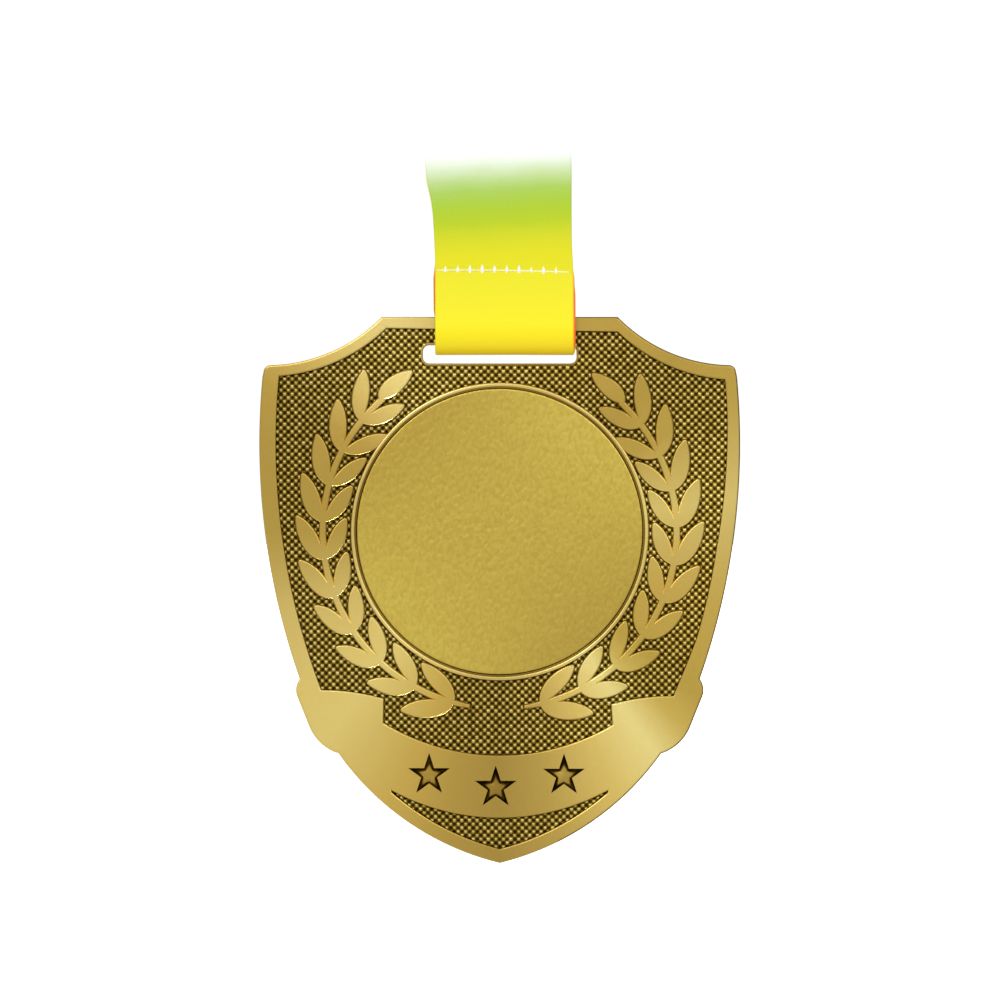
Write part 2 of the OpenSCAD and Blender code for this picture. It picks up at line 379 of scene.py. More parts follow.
class Relief:
    """Walls and flat faces of a casting, each vertex with its share of dark tarnish, which in a few
    places carries painted shade.
    """

    def __init__(self):
        self.points, self.faces, self.dark = [], [], []

    def ring(self, loop, heights, dark):
        """A loop at one height, or one for each point, as (loop, index of its first vertex)."""
        start = len(self.points)
        if not isinstance(heights, list):
            heights = [heights] * len(loop)
        self.points += [at(x, z, height) for (x, z), height in zip(loop, heights)]
        self.dark += [dark] * len(loop)
        return loop, start

    def skin(self, rings, closed=False):
        """Joins each ring to the next, and the last one to the first if closed."""
        for (loop, a), (_, b) in zip(rings, rings[1:] + rings[:1] if closed else rings[1:]):
            self.faces += band(a, b, len(loop))

    def wall(self, loop, outer, levels, closed=False):
        """Joins the loop drawn at each level of (inset, height, darkness: tarnish, and in places
        painted shade).
        """
        loop = turned(loop, outer)
        rings = [self.ring(inset(loop, distance), height, dark) for distance, height, dark in levels]
        self.skin(rings, closed)
        return rings[0], rings[-1]

    def cap(self, rings):
        """Fills what lies inside an odd number of the rings."""
        flat, index, runs = [], [], []
        for loop, start in rings:
            runs.append(list(range(len(flat), len(flat) + len(loop))))
            flat += [Vector(p) for p in loop]
            index += range(start, start + len(loop))
        edges = [(a, b) for run in runs for a, b in zip(run, run[1:] + run[:1])]
        verts, _, tris, origins, _, _ = geometry.delaunay_2d_cdt(flat, edges, [], 1, 1e-6)
        middles = np.array([[sum(verts[i][k] for i in tri) / 3 for k in (0, 1)] for tri in tris])
        kept = inside([loop for loop, _ in rings], middles[:, 0], middles[:, 1])
        for tri, keep in zip(tris, kept):
            corners = [index[origins[i][0]] for i in tri if origins[i]]
            if keep and len(corners) == 3:
                self.faces.append(tuple(corners))

    def finish(self, name, material, crisp):
        return solid(name, self.points, self.faces, material, "medal", crisp, self.dark)

    def finish_flat(self, name):
        """A piece whose large faces shade flat up to their bevels."""
        o = self.finish(name, GOLD, 35)
        flat_faces = o.modifiers.new("flat_faces", "WEIGHTED_NORMAL")
        flat_faces.keep_sharp = True
        flat_faces.weight = 100
        return o


def inside(loops, x, z):
    """Which points of two arrays lie inside an odd number of the loops."""
    hit = np.zeros(x.shape, bool)
    for loop in loops:
        for (ax, az), (bx, bz) in zip(loop, loop[1:] + loop[:1]):
            if az != bz:
                hit ^= ((az > z) != (bz > z)) & (x < (bx - ax) * (z - az) / (bz - az) + ax)
    return hit


# ---- materials

def linear(rgb):
    """An sRGB colour from 0 to 255 as the linear colour that a shader takes."""
    def one(v):
        v /= 255
        return v / 12.92 if v <= 0.04045 else ((v + 0.055) / 1.055) ** 2.4
    return tuple(one(v) for v in rgb) + (1.0,)


class Nodes:
    """The node tree of a material or world, with short calls for the nodes that are used here."""

    def __init__(self, owner, shader="Principled BSDF"):
        owner.use_nodes = True
        self.owner = owner
        self.tree = owner.node_tree
        self.shader = self.tree.nodes[shader]

    def node(self, kind, settings=None, **inputs):
        n = self.tree.nodes.new(kind)
        for key, value in (settings or {}).items():
            setattr(n, key, value)
        for key, value in inputs.items():
            self.put(n, key, value)
        return n

    def put(self, node, key, value):
        socket = node.inputs[int(key[1:])] if key[0] == "_" else node.inputs[key.replace("_", " ")]
        if isinstance(value, bpy.types.NodeSocket):
            self.tree.links.new(value, socket)
        else:
            socket.default_value = value

    def set(self, **inputs):
        for key, value in inputs.items():
            self.put(self.shader, key, value)

    def attribute(self, name, output="Fac"):
        return self.node("ShaderNodeAttribute", {"attribute_name": name}).outputs[output]

    def place(self):
        return self.node("ShaderNodeTexCoord").outputs["Object"]

    def xyz(self, vector):
        return self.node("ShaderNodeSeparateXYZ", Vector=vector).outputs

    def noise(self, vector, scale, detail=2.0, roughness=0.5):
        n = self.node("ShaderNodeTexNoise", Vector=vector, Scale=scale, Detail=detail)
        n.inputs["Roughness"].default_value = roughness
        return n.outputs["Fac"]

    def math(self, operation, a, b=0.0, clamp=False):
        n = self.node("ShaderNodeMath", {"operation": operation, "use_clamp": clamp}, _0=a, _1=b)
        return n.outputs[0]

    def spread(self, value, low, high, to_low, to_high):
        n = self.node("ShaderNodeMapRange", _0=value, _1=low, _2=high, _3=to_low, _4=to_high)
        return n.outputs[0]

    def mix(self, share, a, b, blend="MIX"):
        n = self.node("ShaderNodeMix", {"data_type": "RGBA", "blend_type": blend})
        self.put(n, "_0", share)
        self.put(n, "_6", a)
        self.put(n, "_7", b)
        return n.outputs[2]

    def ramp(self, value, stops):
        n = self.node("ShaderNodeValToRGB", _0=value)
        elements = n.color_ramp.elements
        while len(elements) < len(stops):
            elements.new(0.5)
        for element, (place, colour) in zip(elements, stops):
            element.position = place
            element.color = colour
        return n.outputs[0]

    def vector_math(self, operation, a, b=(0, 0, 0)):
        return self.node("ShaderNodeVectorMath", {"operation": operation}, _0=a, _1=b).outputs[0]

    def outwards(self):
        """Unit vector away from the insert's centre, for a finish brushed in circles round it."""
        centre = (DISC_C[0] * MM, 0, DISC_Z * MM)
        away = self.vector_math("SUBTRACT", self.place(), centre)
        flat = self.vector_math("MULTIPLY", away, (1, 0, 1))
        settings = {"vector_type": "VECTOR", "convert_from": "OBJECT", "convert_to": "WORLD"}
        world = self.node("ShaderNodeVectorTransform", settings, _0=flat).outputs[0]
        return self.vector_math("NORMALIZE", world)

    def bump(self, height, strength, distance, below=None):
        n = self.node("ShaderNodeBump", Height=height, Strength=strength, Distance=distance)
        if below:
            self.put(n, "Normal", below)
        return n.outputs[0]


def new_material(name):
    return Nodes(bpy.data.materials.new(name))


# Tones round the face by the angle at the insert's centre, a painted reflection of the lights:
# deep gold where shade is painted, and pale gold where a highlight is painted
PAINTED_REFLECTION_TONES = [
    (-180, (204, 172, 82)), (-160, (228, 200, 114)), (-130, (228, 204, 120)), (-112, (210, 178, 88)),
    (-100, (190, 158, 75)), (-90, (178, 148, 71)), (-80, (192, 162, 80)), (-66, (218, 190, 104)),
    (-55, (232, 214, 136)), (-47, (204, 176, 88)), (-40, (192, 162, 74)), (-17, (220, 187, 93)),
    (8, (242, 216, 126)), (30, (194, 164, 77)), (45, (180, 150, 70)), (62, (194, 162, 76)),
    (90, (208, 178, 90)), (117, (220, 198, 122)), (148, (192, 160, 76)), (180, (204, 172, 82))]


def painted_light_by_angle(m, tones=PAINTED_REFLECTION_TONES):
    """Colour at each angle round the insert from a table of tones: painted light and shade."""
    x, _, z = m.xyz(m.place())
    angle = m.math("ARCTAN2", m.math("SUBTRACT", z, DISC_Z * MM), x)
    stops = [((a + 180) / 360, linear(rgb)) for a, rgb in tones]
    return m.ramp(m.spread(angle, -math.pi, math.pi, 0, 1), stops)


def with_tarnish_and_shade(m, gold, tarnish_and_shade):
    """Gold that goes through olive to dark brown as the tarnish rises, including the painted shade that
    rides on it.
    """
    share = m.ramp(tarnish_and_shade, [(0.0, (1, 1, 1, 1)), (0.22, linear((214, 208, 186))),
                             (0.6, linear((132, 120, 70))), (1.0, linear((50, 36, 12)))])
    return m.mix(1.0, gold, share, "MULTIPLY")


def cast_gold():
    """Satin plated casting with a fine cast grain, brushed in circles; painted reflection tones by
    angle on the face, and one tone on the back.
    """
    m = new_material("antique_gold")
    place = m.place()
    behind = m.spread(m.xyz(place)[1], (BACK_Y - 1.0) * MM, (BACK_Y - 0.6) * MM, 0, 1)
    # The face's colour is a painted reflection that changes with the angle round the insert.
    gold = m.mix(behind, painted_light_by_angle(m), linear((208, 178, 88)))
    patches = m.noise(place, 1000, 3)
    grain = m.noise(place, 2600, 3, 0.6)
    dark = m.attribute("tarnish_and_shade")
    edge = m.math("MULTIPLY", dark, m.spread(patches, 0.35, 0.65, 0.85, 1.15), True)
    rough = m.math("ADD", m.spread(grain, 0.3, 0.7, 0.34, 0.4), m.math("MULTIPLY", dark, 0.2))
    m.set(Base_Color=with_tarnish_and_shade(m, gold, edge), Metallic=1.0, Roughness=rough,
          Normal=m.bump(grain, 0.25, 0.00004), Anisotropic=0.7, Tangent=m.outwards())
    return m.owner


def ring_gold():
    """The ring round the insert: the same plated gold and painted reflection tones, mixed a little
    paler as a painted highlight on the bead.
    """
    m = new_material("ring_gold")
    grain = m.noise(m.place(), 2600, 3, 0.6)
    # Painted highlight: the ring's tones mixed towards pale gold.
    gold = m.mix(0.35, painted_light_by_angle(m), linear((246, 224, 148)))
    m.set(Base_Color=with_tarnish_and_shade(m, gold, m.attribute("tarnish_and_shade")), Metallic=1.0,
          Roughness=m.spread(grain, 0.3, 0.7, 0.32, 0.38), Normal=m.bump(grain, 0.2, 0.00004))
    return m.owner


# Painted shade: how much of the painted reflection tones' brightness the knurled ground keeps at each
# angle
KNURL_SHADE = [(-180, (232, 232, 232)), (-143, (230, 230, 230)), (-108, (238, 238, 238)),
               (-80, (255, 255, 255)), (120, (255, 255, 255)), (150, (230, 230, 230)),
               (180, (232, 232, 232))]


def knurl_gold():
    """The same plated gold and painted reflection tones on the studs, paler, with painted shade by
    angle; their round tops are rubbed bright between dark pits.
    """
    m = new_material("knurl_gold")
    x, _, z = m.xyz(m.place())
    turn = 2 * math.pi / (KNURL_PITCH * math.sqrt(2) * MM)
    level = m.math("SUBTRACT", z, (TOP_Z - KNURL_ORIGIN) * MM)
    across = m.math("COSINE", m.math("MULTIPLY", x, turn))
    up = m.math("COSINE", m.math("MULTIPLY", level, turn))
    stud = m.math("MULTIPLY", across, up)
    wear = m.noise(m.place(), 900, 2)
    worn = m.math("ADD", stud, m.math("MULTIPLY", m.math("SUBTRACT", wear, 0.5), 1.3))
    share = m.ramp(m.spread(worn, -0.95, 1.0, 0, 1), [
        (0.0, linear((48, 34, 9))), (0.28, linear((97, 82, 34))), (0.56, linear((140, 125, 71))),
        (0.8, linear((226, 218, 184))), (1.0, (1, 1, 1, 1))])
    # Paler painted reflection tones, darkened by the knurl's painted shade at each angle.
    pale_painted_reflection = m.mix(0.45, painted_light_by_angle(m), linear((232, 222, 156)))
    gold = m.mix(1.0, pale_painted_reflection, painted_light_by_angle(m, KNURL_SHADE), "MULTIPLY")
    m.set(Base_Color=m.mix(1.0, gold, share, "MULTIPLY"), Metallic=1.0,
          Roughness=m.spread(stud, -1, 1, 0.6, 0.36))
    return m.owner


def grained_gold():
    """The insert: a sand-cast grain like orange peel under satin plated gold, with a painted sheen
    lighter to the upper right and lower left.
    """
    m = new_material("grained_gold")
    place = m.place()
    leaning = m.node("ShaderNodeMapping", Vector=place).outputs[0]
    leaning.node.inputs["Rotation"].default_value = (0, math.radians(35), 0)
    leaning.node.inputs["Scale"].default_value = (1, 1, 0.55)
    peel = m.noise(leaning, 1800, 2, 0.4)
    fine = m.noise(place, 4200, 2)
    x, _, z = m.xyz(place)
    # Painted sheen: lighter to the upper right and lower left of the centre, darker to the upper left
    # and lower right.
    crossed = m.math("MULTIPLY", x, m.math("SUBTRACT", z, DISC_Z * MM))
    reach = (0.6 * DISC_R * MM) ** 2
    sheen = m.spread(crossed, -reach, reach, 0, 1)
    base = m.mix(sheen, linear((194, 167, 75)), linear((212, 188, 86)))
    ochre = m.mix(m.spread(peel, 0.3, 0.6, 0.3, 0), base, linear((176, 144, 62)))
    height = m.math("ADD", peel, m.math("MULTIPLY", fine, 0.12))
    m.set(Base_Color=with_tarnish_and_shade(m, ochre, m.attribute("tarnish_and_shade")), Metallic=1.0,
          Roughness=m.spread(fine, 0.3, 0.7, 0.36, 0.44), Normal=m.bump(height, 0.8, 0.0001))
    return m.owner


# Print along the ribbon: millimetres from the fold under the bar, up the front (+) or back (-)
PRINT = [
    (-62, (254, 253, 252)), (-42, (254, 252, 244)), (-33, (250, 245, 208)), (-26, (246, 230, 152)),
    (-21, (244, 202, 120)), (-17, (252, 150, 84)), (-11, (250, 150, 50)), (-5, (250, 172, 50)),
    (-1.5, (252, 206, 36)), (2, (252, 220, 27)), (6, (240, 224, 21)), (13, (228, 219, 30)),
    (20, (221, 215, 24)),
    (22.3, (210, 211, 28)), (24.1, (198, 207, 30)), (25.8, (180, 201, 32)), (27.8, (172, 199, 43)),
    (29.6, (166, 199, 62)), (31.5, (167, 200, 89)), (33.3, (183, 209, 135)),
    (35.2, (206, 221, 184)), (37.4, (230, 238, 223)), (39.6, (250, 252, 248)),
    (41, (255, 255, 254)), (62, (254, 253, 252))]
PRINT_REACH = 62


def ribbon_satin():
    """Woven satin with a print along it; it glows faintly in its own colour, painted light that lifts
    its shade.
    """
    m = new_material("ribbon_satin")
    cloth = m.attribute("cloth", "Vector")
    across, run, _ = m.xyz(cloth)
    wander = m.spread(m.noise(cloth, 0.22, 2), 0.3, 0.7, -0.2, 0.2)
    slant = m.math("MULTIPLY", across, -0.06)
    along = m.math("ADD", run, m.math("ADD", wander, slant))
    place = m.spread(along, -PRINT_REACH, PRINT_REACH, 0, 1)
    stops = [((s + PRINT_REACH) / (2 * PRINT_REACH), linear(rgb)) for s, rgb in PRINT]
    edge = m.math("MULTIPLY", m.spread(across, 11.7, 11.95, 0, 1),
                  m.math("MULTIPLY", m.spread(along, 0.5, 3, 0, 1), m.spread(along, 12, 17, 1, 0)))
    print_colour = m.mix(edge, m.ramp(place, stops), linear((238, 112, 34)))
    warp = m.node("ShaderNodeTexWave", {"bands_direction": "X"}, Vector=cloth, Scale=1.6)
    weft = m.node("ShaderNodeTexWave", {"bands_direction": "Y"}, Vector=cloth, Scale=1.1)
    for wave in (warp, weft):
        wave.inputs["Distortion"].default_value = 0.6
    weave = m.math("ADD", m.math("MULTIPLY", warp.outputs["Fac"], 0.35),
                   m.math("MULTIPLY", weft.outputs["Fac"], 0.65))
    slub = m.noise(cloth, 2.2, 3)
    shade = m.spread(m.math("ADD", weave, slub), 0.4, 1.6, 0.94, 1.0)
    shade_rgb = m.node("ShaderNodeCombineColor", _0=shade, _1=shade, _2=shade).outputs[0]
    base = m.mix(1.0, print_colour, shade_rgb, "MULTIPLY")
    # Painted light: a faint glow in the cloth's own colour.
    m.set(Base_Color=base, Emission_Color=base, Emission_Strength=0.05,
          Roughness=m.spread(weave, 0, 1, 0.42, 0.52),
          Specular_IOR_Level=0.22, Sheen_Weight=0.08, Sheen_Roughness=0.4,
          Normal=m.bump(weave, 0.12, 0.00003, m.bump(slub, 0.1, 0.00008)))
    return m.owner


def thread_material():
    """White polyester thread with a fine twist."""
    m = new_material("thread")
    twist = m.node("ShaderNodeTexWave", {"bands_direction": "DIAGONAL"},
                   Vector=m.place(), Scale=900.0).outputs["Fac"]
    base = m.mix(twist, linear((236, 234, 222)), linear((252, 251, 244)))
    m.set(Base_Color=base, Roughness=0.55, Sheen_Weight=0.3, Normal=m.bump(twist, 0.4, 0.00004))
    return m.owner


def elastic_material():
    """White woven elastic with ribs along the band."""
    m = new_material("band_elastic")
    x, _, z = m.xyz(m.place())
    ribs = m.math("SINE", m.math("MULTIPLY", z, 2 * math.pi / 0.0007))
    knit = m.math("SINE", m.math("MULTIPLY", x, 2 * math.pi / 0.0005))
    weave = m.math("ADD", ribs, m.math("MULTIPLY", knit, 0.4))
    base = m.mix(m.spread(weave, -1, 1, 0, 1), linear((224, 223, 218)), linear((248, 247, 243)))
    m.set(Base_Color=base, Roughness=0.7, Sheen_Weight=0.2, Normal=m.bump(weave, 0.5, 0.00008))
    return m.owner


def adhesive_material():
    """Clear double-sided film, hidden between the insert and the casting."""
    m = new_material("adhesive")
    haze = m.noise(m.place(), 400, 2)
    base = m.mix(haze, linear((228, 228, 222)), linear((242, 242, 238)))
    m.set(Base_Color=base, Roughness=m.spread(haze, 0.3, 0.7, 0.15, 0.3))
    return m.owner


GOLD = cast_gold()
RING_GOLD = ring_gold()
KNURL_GOLD = knurl_gold()
GRAINED = grained_gold()
SATIN = ribbon_satin()
THREAD = thread_material()
ELASTIC = elastic_material()
ADHESIVE = adhesive_material()


# ---- casting

def casting_body():
    """Border, banner, stars and back of the casting, as one closed skin."""
    r = Relief()
    side = [(0.35, 0, 0.1), (0.1, 0.08, 0.1), (0, 0.32, 0.25), (0, THICK - 0.34, 0.25),
            (0.05, THICK - 0.16, 0.05), (0.15, THICK - 0.04, 0), (0.3, THICK, 0), (0.4, THICK, 0)]
    outer = r.wall(shield_outline(), True, side)
    # Painted shade: the outer bevel's rings darker along the right-hand edge.
    paint_right_edge_shade(r, len(r.points) // len(side), {4: 1.0, 5: 0.35})
    edges = [(-0.12, FLOOR, 1), (-0.02, THICK - 0.3, 0.75), (0.05, THICK - 0.1, 0.2),
             (0.2, THICK, 0), (0.3, THICK, 0)]
    grounds = [r.wall(window, False, edges) for window in (ground_outline(), panel_outline())]
    stars = [star_pit(r, place) for place in STARS]
    back = r.wall(back_outline(), False, [
        (0.3, 0, 0.1), (0.2, 0, 0.1), (0.03, 0.06, 0.2), (-0.05, BACK_FIELD, 0.5),
        (0.25, BACK_FIELD, 0.2), (0.35, BACK_FIELD, 0.2)])
    slot = r.wall(slot_outline(), False, [(0.35, 0, 0.1), (0.1, 0.1, 0.1), (0, 0.35, 0.2),
                                          (0, FLOOR, 0.3)])
    r.cap([outer[1]] + [top for _, top in grounds] + stars)
    r.cap([outer[0], back[0], slot[0]])
    r.cap([back[1]])
    r.cap([floor for floor, _ in grounds] + [slot[1]])
    return r.finish_flat("border_and_banner")


def paint_right_edge_shade(r, count, tones):
    """Paints shade on rings of the outer bevel, from 10 mm right of the middle on, by setting their
    tarnish: a painted dark reflection along the right-hand edge.
    """
    for level, tone in tones.items():
        for i in range(level * count, (level + 1) * count):
            if r.points[i][0] > 10 * MM:
                r.dark[i] = tone


def star_pit(r, centre):
    """A star-shaped pit with a worn middle and dark points; the middle is set low, so a painted shadow
    from the top edge darkens the upper points over their patina. Returns the ring at its top edge.
    """
    walls = [(1.12, THICK, 0), (1.06, THICK, 0), (1.0, THICK - 0.1, 0.45), (0.97, THICK - 0.3, 0.9),
             (0.9, GROUND + 0.02, 1)]
    floor = [(0.6, 0.5, GROUND + 0.06, 0.85), (0.42, 0.62, GROUND + 0.14, 0.2),
             (0.16, 0.62, GROUND + 0.18, 0.16)]
    rings = []
    for scale, height, dark in walls:
        outline = star_outline(centre, STAR_R * scale, STAR_NOTCH)
        rings.append(r.ring(turned(outline, False), height, dark))
    for scale, notch, height, dark in floor:
        # The floor's rings sit lower as they shrink: painted shadow across the pit's upper points.
        outline = star_outline((centre[0], centre[1] - 0.25 * (1 - scale)), STAR_R * scale, notch)
        rings.append(r.ring(turned(outline, False), height, dark))
    r.skin(rings)
    r.cap([rings[-1]])
    return rings[0]


def slot_lip():
    """The smooth narrow rim round the slot."""
    r = Relief()
    r.wall(slot_outline(), False, [
        (0.02, FLOOR - 0.1, 0.5), (0, GROUND + 0.1, 0.35), (0.06, GROUND + 0.2, 0.3),
        (0.2, GROUND + 0.24, 0.3), (0.36, GROUND + 0.2, 0.35), (0.48, GROUND, 0.8),
        (0.5, FLOOR - 0.1, 1)], closed=True)
    return r.finish_flat("slot_lip")


def laurel(name, side, turn):
    """One branch: a plate with the outline of all its leaves together, and a bevelled edge."""
    outlines = [[(side * x, z) for x, z in part] for part in branch_outlines(turn)]
    r = Relief()
    loops = sorted(joined([turned(o, True) for o in outlines]), key=lambda l: -abs(area(l)))
    edges = [(0, FLOOR - 0.1, 1), (-0.26, FLOOR, 1), (-0.22, THICK - 0.42, 0.8),
             (-0.2, THICK - 0.3, 0.2), (0, THICK - 0.05, 0), (0.08, THICK, 0),
             (0.14, THICK, 0)]
    rings = [r.wall(loop, k == 0, edges) for k, loop in enumerate(loops)]
    r.cap([low for low, _ in rings])
    r.cap([top for _, top in rings])
    return r.finish_flat(name)


def round_disc(radius, steps):
    """A circle about the insert's centre."""
    return arc(DISC_C, radius, 0, 360, steps)[:-1]


def bezel_ring():
    """The rolled ring, with a tarnished step between it and the insert."""
    step = DISC_FRONT - 0.12
    outer = DISC_R + RING_W
    profile = [
        (DISC_R + 0.02, FLOOR - 0.2, 0.5), (DISC_R + 0.02, step, 0.5),
        (DISC_R + 0.24, DISC_FRONT, 0.42),
        (DISC_R + 0.3, RING_TOP - 0.12, 0.3), (DISC_R + 0.38, RING_TOP - 0.03, 0.05),
        (DISC_R + 0.5, RING_TOP, 0), (outer - 0.26, RING_TOP, 0), (outer - 0.12, RING_TOP - 0.06, 0),
        (outer - 0.02, RING_TOP - 0.2, 0.1), (outer + 0.03, RING_TOP - 0.45, 0.5),
        (outer + 0.08, FLOOR, 1), (outer + 0.08, FLOOR - 0.2, 1)]
    r = Relief()
    r.skin([r.ring(round_disc(radius, RING_STEPS), height, tone) for radius, height, tone in profile],
           closed=True)
    return r.finish("bezel_ring", RING_GOLD, 50)


def any_corner(marked):
    """Which squares of the grid have a marked corner."""
    return marked[:-1, :-1] | marked[1:, :-1] | marked[1:, 1:] | marked[:-1, 1:]


def knurled_squares(x, z):
    """Which squares of the knurl's grid show in the two windows, clear of the ring and the slot."""
    near = (abs(x) < HALF_W) & (z < 0) & (z > -SHIELD_H)
    lip = inset(turned(slot_outline(), False), 0.12)
    shown, blocked = np.zeros(x.shape, bool), np.zeros(x.shape, bool)
    shown[near] = inside([ground_outline(), panel_outline()], x[near], z[near])
    blocked[near] = inside([lip], x[near], z[near])
    from_centre = np.hypot(x - DISC_C[0], z - DISC_C[1])
    shown &= from_centre > DISC_R + 0.35
    blocked |= from_centre < DISC_R + 0.2
    return any_corner(shown) & ~any_corner(blocked)


def knurled_ground():
    """Studs in diagonal rows over the ground and the small panel."""
    step = KNURL_PITCH / 4
    reach = int(KNURL_REACH / step)
    u, v = np.meshgrid(np.arange(-reach, reach + 1), np.arange(-reach, reach + 1), indexing="ij")
    x = (u - v) * step / math.sqrt(2)
    z = (u + v) * step / math.sqrt(2) - KNURL_ORIGIN
    rows, cols = np.nonzero(knurled_squares(x, z))
    corners = [(rows, cols), (rows + 1, cols), (rows + 1, cols + 1), (rows, cols + 1)]
    used = np.zeros(x.shape, bool)
    for corner in corners:
        used[corner] = True
    number = -np.ones(x.shape, int)
    number[used] = np.arange(used.sum())
    stud = (np.cos(u * math.pi / 2) + np.cos(v * math.pi / 2)) / 2
    wear = np.random.default_rng(3).normal(0, 0.01, stud.shape)
    height = GROUND - 0.08 + KNURL_H * (stud + 1) / 2 + wear

    r = Relief()
    flat = list(zip(x[used], z[used]))
    r.points = [at(a, b, c) for (a, b), c in zip(flat, height[used])]
    r.dark = (0.5 - 0.5 * stud[used]).tolist()
    r.faces = np.stack([number[corner] for corner in corners], 1).tolist()
    skirts = []
    for loop in open_edges(r.faces):
        below = r.ring([flat[i] for i in loop], FLOOR - 0.05, 1)
        for k, here in enumerate(loop):
            j = (k + 1) % len(loop)
            r.faces.append((loop[j], here, below[1] + k, below[1] + j))
        skirts.append(below)
    r.cap(skirts)
    return r.finish("knurled_ground", KNURL_GOLD, 70)


def centre_disc():
    """The insert: a bevelled disc whose face has a shallow cast grain in the mesh."""
    edge = DISC_R - 0.08
    count = int(edge / 0.3)
    r = Relief()
    r.points, r.dark = [at(*DISC_C, DISC_FRONT)], [0.0]
    rings = []
    for k in range(1, count + 1):
        loop = round_disc((edge - 0.32) * k / count, DISC_STEPS)
        depth = GRAIN_DEPTH * min(1, (count - k) / 4)
        grain = [noise.noise(Vector((0.9 * x + 0.5 * z, 1.5 * (z - 0.6 * x), 0))) for x, z in loop]
        rings.append(r.ring(loop, [DISC_FRONT + depth * g for g in grain], 0.0))
    rim = [(edge - 0.14, DISC_FRONT - 0.01, 0.05), (edge - 0.03, DISC_FRONT - 0.08, 0.2),
           (edge, DISC_FRONT - 0.2, 0.35), (edge, DISC_BACK, 0.5)]
    rings += [r.ring(round_disc(radius, DISC_STEPS), height, tone) for radius, height, tone in rim]
    r.skin(rings)
    r.faces += [(0, 1 + i, 1 + (i + 1) % DISC_STEPS) for i in range(DISC_STEPS)]
    r.faces.append(tuple(rings[-1][1] + i for i in range(DISC_STEPS)))
    return r.finish("insert_disc", GRAINED, 60)


# ---- ribbon

def line(p, q, step):
    """Points along a straight line, about a step apart."""
    count = max(1, round(math.dist(p, q) / step))
    return [(p[0] + (q[0] - p[0]) * i / count, p[1] + (q[1] - p[1]) * i / count)
            for i in range(count + 1)]


def without_repeats(points):
    """The points without those that lie on the one before."""
    out = [points[0]]
    for p in points[1:]:
        if math.dist(p, out[-1]) > 1e-4:
            out.append(p)
    return out


def double_path():
    """Middle line of the two layers, seen from +X: from the stitches over the bar to the hank."""
    front, back = -HANG_R - DOUBLE / 2, HANG_R + DOUBLE / 2
    pitch = DOUBLE + 0.1
    room = pitch / 2 + DOUBLE / 2 + 0.05
    low, top = HANK_LOW[2] / MM + room, HANK_HIGH[2] / MM - room
    runs = int((HANK_HIGH[1] / MM - HANG_R) / pitch)
    path = line((front, STITCH_Z), (front, 0), 0.5)
    path += arc((0, 0), back, 180, 0, 36)
    here = (back, 0)
    for k in range(runs):
        down = k % 2 == 0
        stop = low + random.uniform(0, 0.5) if down else top - random.uniform(0, 0.5)
        path += line(here, (here[0], stop), 1.5)
        if k < runs - 1:
            path += arc((here[0] + pitch / 2, stop), pitch / 2, 180, 360 if down else 0, 8)
            here = (here[0] + pitch, stop)
    return without_repeats(path)


def slopes(path):
    """Unit direction of the path at each of its points."""
    out = []
    for a, b in zip(path[:1] + path[:-1], path[1:] + path[-1:]):
        size = math.dist(a, b)
        out.append(tuple((q - p) / size for p, q in zip(a, b)))
    return out


def beside(path, distance):
    """The path moved to its left."""
    return [(y - dz * distance, z + dy * distance) for (y, z), (dy, dz) in zip(path, slopes(path))]


def loop_path():
    """One layer from the front of the stitches, under the bar, to the back of the stitches."""
    rise = STITCH_Z - BAR_C[1]
    lean = math.degrees(math.asin((LOOP_R - PLY_OFFSET) / rise))
    side = [(BAR_C[0] + s * PLY_OFFSET, STITCH_Z) for s in (-1, 1)]
    round_bar = arc(BAR_C, LOOP_R, 180 - lean, 360 + lean, 44)
    return line(side[0], round_bar[0], 0.4) + round_bar + line(round_bar[-1], side[1], 0.4)


def strip_path():
    """The whole ribbon: down its outer layer, round the shield's bar, and back up the inner one."""
    middle = double_path()
    outer_ply = beside(middle, PLY_OFFSET)
    inner_ply = beside(middle, -PLY_OFFSET)
    end, prior = middle[-1], middle[-2]
    side = math.copysign(PLY_OFFSET, outer_ply[-1][0] - end[0])
    up = math.copysign(PLY_OFFSET, end[1] - prior[1])
    cap = [(end[0] + side * math.cos(math.radians(a)), end[1] + up * math.sin(math.radians(a)))
           for a in range(30, 180, 30)]
    return without_repeats(outer_ply[::-1] + loop_path() + inner_ply + cap[::-1])


ROUTE = strip_path()


def lengths(route):
    """Length of the route from its start to each of its points."""
    out = [0.0]
    for a, b in zip(route, route[1:]):
        out.append(out[-1] + math.dist(a, b))
    return out


def stitch_spots():
    """Places across the ribbon of the needle holes along the stitched row."""
    return [FIRST_STITCH + STITCH_STEP * i for i in range(STITCHES)]


def row_height(x):
    """The stitched row runs down a little to the right."""
    return STITCH_Z - 0.02 - 0.03 * max(x, 0)


def pucker(x, z):
    """How far the satin stands out beside the needle holes."""
    row = row_height(x)
    out = 0.0
    for spot in stitch_spots():
        dx, dz = (x - spot) / 0.42, (z - row) / 0.75
        out += 0.14 * math.exp(-dx * dx - dz * dz)
    dent = 0.1 * math.exp(-((z - row) / 0.22) ** 2)
    return out - dent


